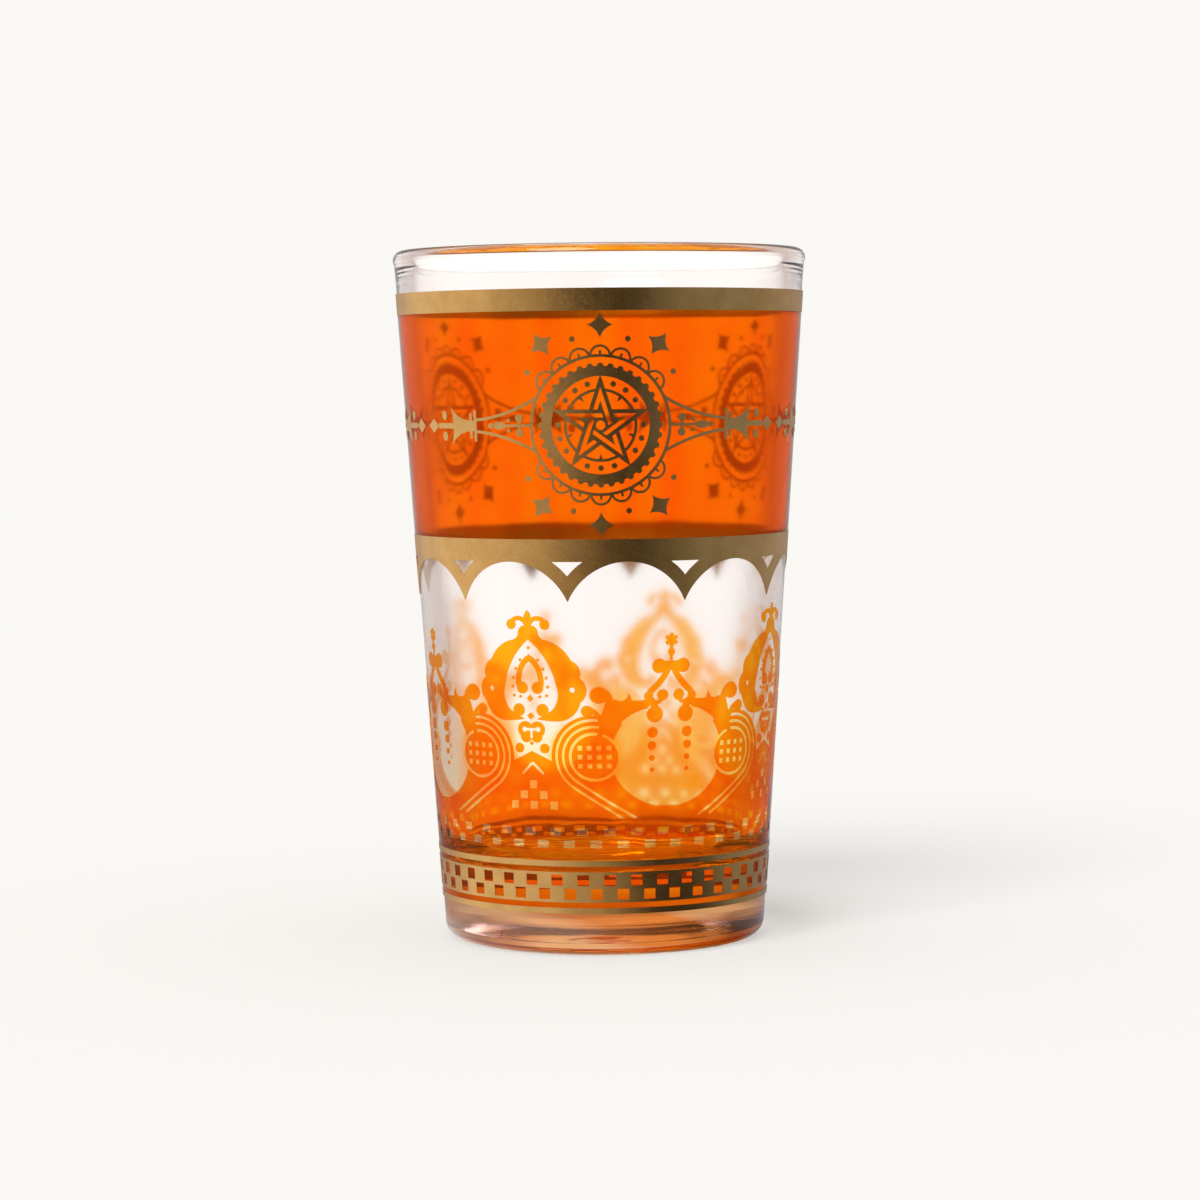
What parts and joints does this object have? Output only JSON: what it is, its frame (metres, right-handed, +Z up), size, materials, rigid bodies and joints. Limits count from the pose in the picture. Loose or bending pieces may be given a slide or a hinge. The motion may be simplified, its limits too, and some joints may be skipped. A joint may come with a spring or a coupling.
{
  "type": "tea glass",
  "caption": "Tapered clear tea glass with a thick base, gold bands, an orange frieze with star medallions, and an orange arabesque over a gold chequer band.",
  "frame": {"origin": "centre of the foot, on the table", "axes": "+Z up along the axis of the glass, -Y towards the front medallion"},
  "size_m": [0.0552, 0.0552, 0.092],
  "materials": {
    "clear_glass": "clear pressed glass, fire-polished rim",
    "orange_enamel": "transparent orange stain, glossy",
    "gold_lustre": "fired gold lustre, satin with fine wear"
  },
  "bodies": {
    "root": {"collar_gold_band": "gold_lustre", "foot_gold_chequer": "gold_lustre", "foot_gold_line_high": "gold_lustre", "foot_gold_line_low": "gold_lustre", "frieze_link_1": "gold_lustre", "frieze_link_2": "gold_lustre", "frieze_link_3": "gold_lustre", "glass_body": "clear_glass", "medallion_lace_1": "gold_lustre", "medallion_lace_2": "gold_lustre", "medallion_lace_3": "gold_lustre", "medallion_sparkles_1": "gold_lustre", "medallion_sparkles_2": "gold_lustre", "medallion_sparkles_3": "gold_lustre", "medallion_wheel_1": "gold_lustre", "medallion_wheel_2": "gold_lustre", "medallion_wheel_3": "gold_lustre", "orange_arch_1": "orange_enamel", "orange_arch_2": "orange_enamel", "orange_arch_3": "orange_enamel", "orange_arch_4": "orange_enamel", "orange_cartouche_1": "orange_enamel", "orange_cartouche_2": "orange_enamel", "orange_cartouche_3": "orange_enamel", "orange_cartouche_4": "orange_enamel", "orange_foot_field": "orange_enamel", "orange_frieze": "orange_enamel", "rim_gold_band": "gold_lustre"}
  },
  "joints": []
}
